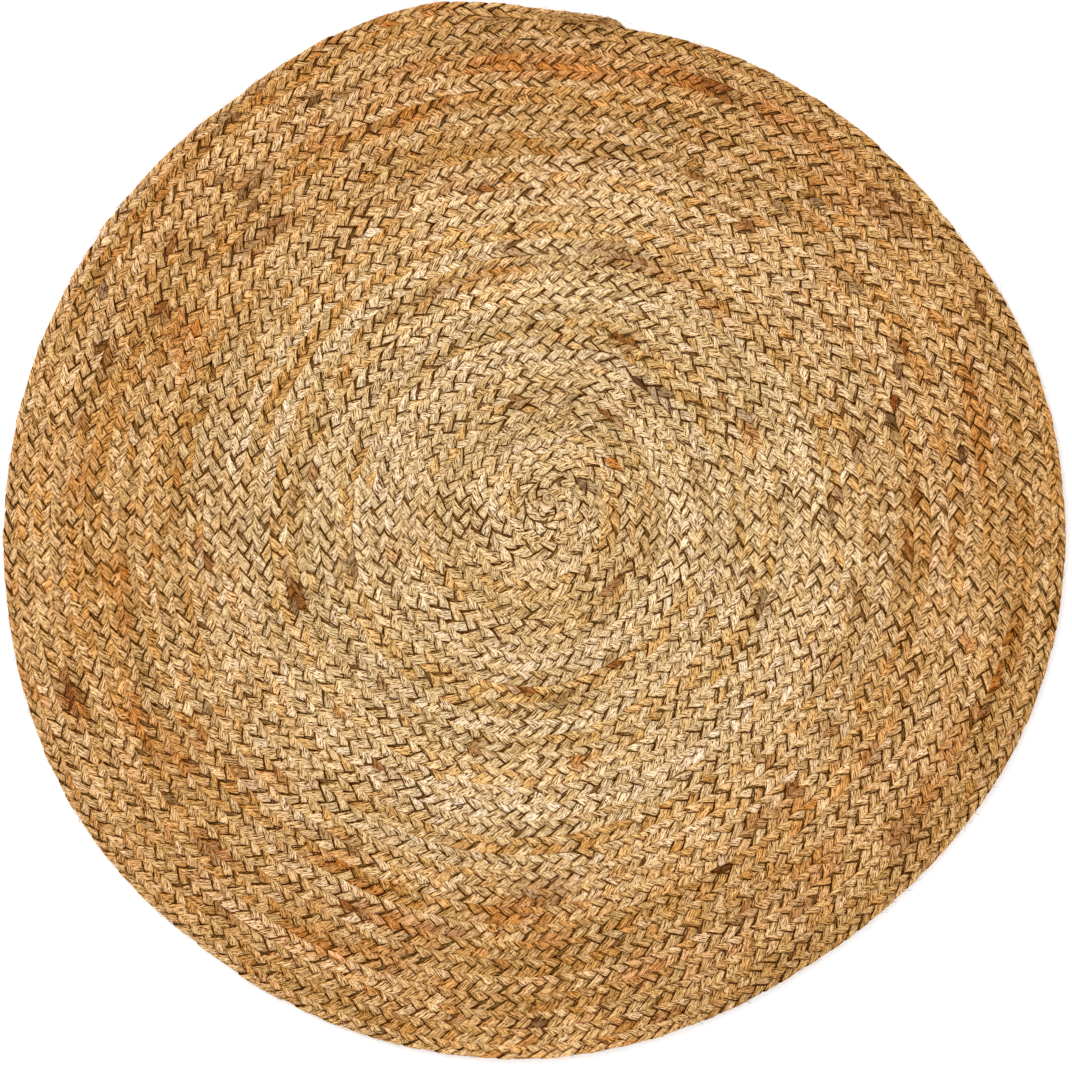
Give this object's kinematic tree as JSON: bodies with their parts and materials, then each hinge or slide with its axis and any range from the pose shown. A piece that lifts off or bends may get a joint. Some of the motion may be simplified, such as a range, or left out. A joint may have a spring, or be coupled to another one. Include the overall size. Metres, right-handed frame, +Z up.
{
  "type": "round jute rug",
  "caption": "Flat round floor rug of two three-strand jute braids, wound side by side in a spiral and sewn edge to edge, with a small thinned step at their outer ends.",
  "frame": {"origin": "middle of the bounding box, on the flat underside", "axes": "+Z up through the rug's thickness; +Y towards the side where the braids' outer ends are sewn down; +X to the right when that side is away from the viewer"},
  "size_m": [0.9064, 0.901, 0.008],
  "materials": {
    "jute": "matt undyed jute braid, straw in the middle to golden brown at the edge"
  },
  "bodies": {
    "root": {"braided_rug": "jute"}
  },
  "joints": []
}
